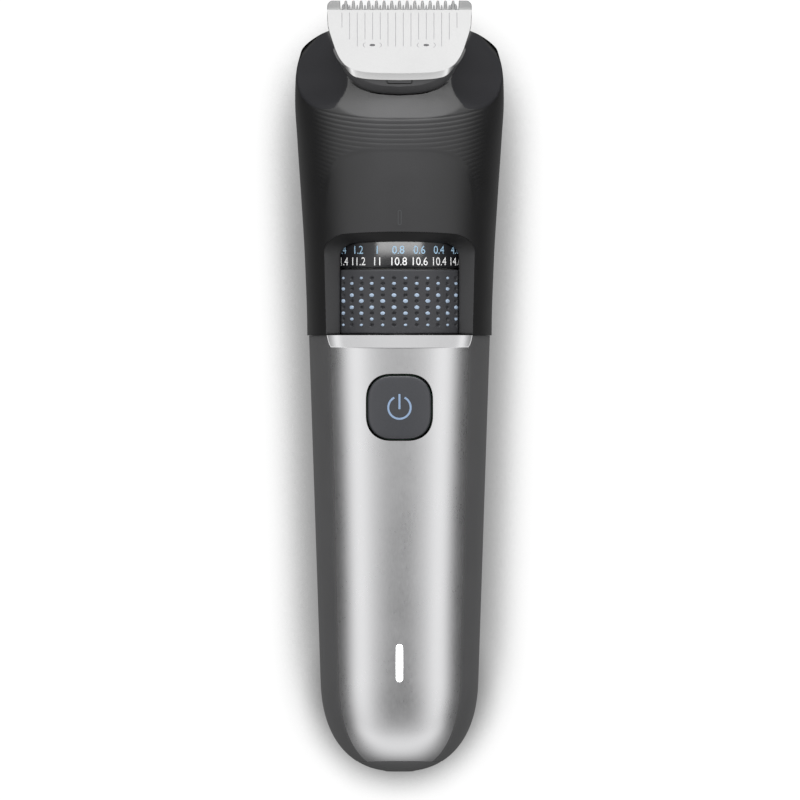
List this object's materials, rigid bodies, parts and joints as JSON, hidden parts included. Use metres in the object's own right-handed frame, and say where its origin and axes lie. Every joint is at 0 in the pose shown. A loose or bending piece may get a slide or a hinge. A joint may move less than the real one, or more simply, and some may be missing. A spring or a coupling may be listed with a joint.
{
  "type": "beard trimmer",
  "caption": "Cordless beard trimmer with a metal front, a black head, a toothed blade, a length wheel behind a window and a push button.",
  "frame": {"origin": "bottom centre of the whole, under the flat of the back on which it lies", "axes": "+Z out of the front face, +Y along the grip towards the blade, +X to the right seen from the front with the blade up"},
  "size_m": [0.0464, 0.1712, 0.039],
  "materials": {
    "silver_metal": "fine brushed satin",
    "dark_plastic": "fine satin texture",
    "black_soft": "matte soft-touch",
    "gloss_black": "polished",
    "wheel_plastic": "satin with small pale inlaid dots",
    "button_plastic": "satin",
    "blade_steel": "satin ground",
    "bright_steel": "turned and polished",
    "motor_steel": "zinc plated",
    "brass": "machined",
    "contact_metal": "plated",
    "white_plastic": "moulded",
    "grey_plastic": "moulded",
    "seal_rubber": "soft",
    "board": "coated laminate",
    "cell_wrap": "shrink wrap on a steel can",
    "light": "frosted, lit from behind"
  },
  "bodies": {
    "housing": {"front_panel": "silver_metal", "rear_housing": "dark_plastic", "bottom_cap": "dark_plastic", "charging_socket": "grey_plastic", "socket_pin_left": "contact_metal", "socket_pin_right": "contact_metal", "head_shell": "black_soft", "window_frame": "black_soft", "wheel_bush": "white_plastic", "detent_spring": "bright_steel", "motor_can": "motor_steel", "motor_mount": "white_plastic", "motor_screw_left": "bright_steel", "motor_screw_right": "bright_steel", "shaft_bearing": "brass", "bearing_bracket": "white_plastic", "lever_pivot_pin": "bright_steel", "lever_support": "white_plastic", "hinge_bracket": "bright_steel", "hinge_pin_left": "bright_steel", "hinge_pin_right": "bright_steel", "chassis": "white_plastic", "battery_cell": "cell_wrap", "battery_tab_front": "contact_metal", "battery_tab_rear": "contact_metal", "circuit_board": "board", "board_screw_upper": "bright_steel", "board_screw_lower": "bright_steel", "tactile_switch": "grey_plastic", "status_led": "white_plastic", "light_pipe": "light", "button_seal": "seal_rubber", "neck_seal": "seal_rubber"},
    "wheel": {"zoom_wheel": "wheel_plastic", "scale_ring": "gloss_black", "cam_barrel": "white_plastic"},
    "carrier": {"comb_carrier": "grey_plastic"},
    "drive": {"motor_shaft": "bright_steel", "drive_shaft": "bright_steel", "eccentric": "brass"},
    "lever": {"drive_lever": "grey_plastic", "lever_pin": "bright_steel"},
    "cutting_unit": {"guard_blade": "blade_steel", "blade_base": "black_soft", "cutter_spring": "bright_steel"},
    "cutter": {"moving_cutter": "blade_steel", "cutter_yoke": "grey_plastic"},
    "button": {"power_button": "button_plastic"}
  },
  "joints": [
    {"name": "zoom_wheel_turn", "type": "hinge", "parent": "housing", "child": "wheel", "pos_m": [0, 0.01875, 0.0205], "axis": [0, 1, 0], "range_deg": [-32.73, 310.91]},
    {"name": "comb_carrier_slide", "type": "slide", "parent": "housing", "child": "carrier", "axis": [0, 1, 0], "range_m": [-0.00042, 0.00384]},
    {"name": "motor_spin", "type": "hinge", "parent": "housing", "child": "drive", "pos_m": [0, 0.016, 0.0205], "axis": [0, 1, 0], "continuous": true},
    {"name": "lever_rock", "type": "hinge", "parent": "housing", "child": "lever", "pos_m": [0, 0.062, 0.02], "axis": [0, 0, 1], "range_deg": [-3.5, 3.5]},
    {"name": "cutting_unit_flip", "type": "hinge", "parent": "housing", "child": "cutting_unit", "pos_m": [0, 0.0806, 0.0276], "axis": [-1, 0, 0], "range_deg": [0, 70]},
    {"name": "cutter_slide", "type": "slide", "parent": "cutting_unit", "child": "cutter", "axis": [1, 0, 0], "range_m": [-0.00079, 0.00079]},
    {"name": "power_button_press", "type": "slide", "parent": "housing", "child": "button", "axis": [0, 0, -1], "range_m": [0, 0.0005], "stiffness_N_per_m": 1500, "springref_m": -0.0003}
  ],
  "couplings": [
    {"joint": "comb_carrier_slide", "follows": "zoom_wheel_turn", "m_per_rad": 0.00070028},
    {"joint": "lever_rock", "follows": "cutter_slide", "rad_per_m": -76.923}
  ]
}
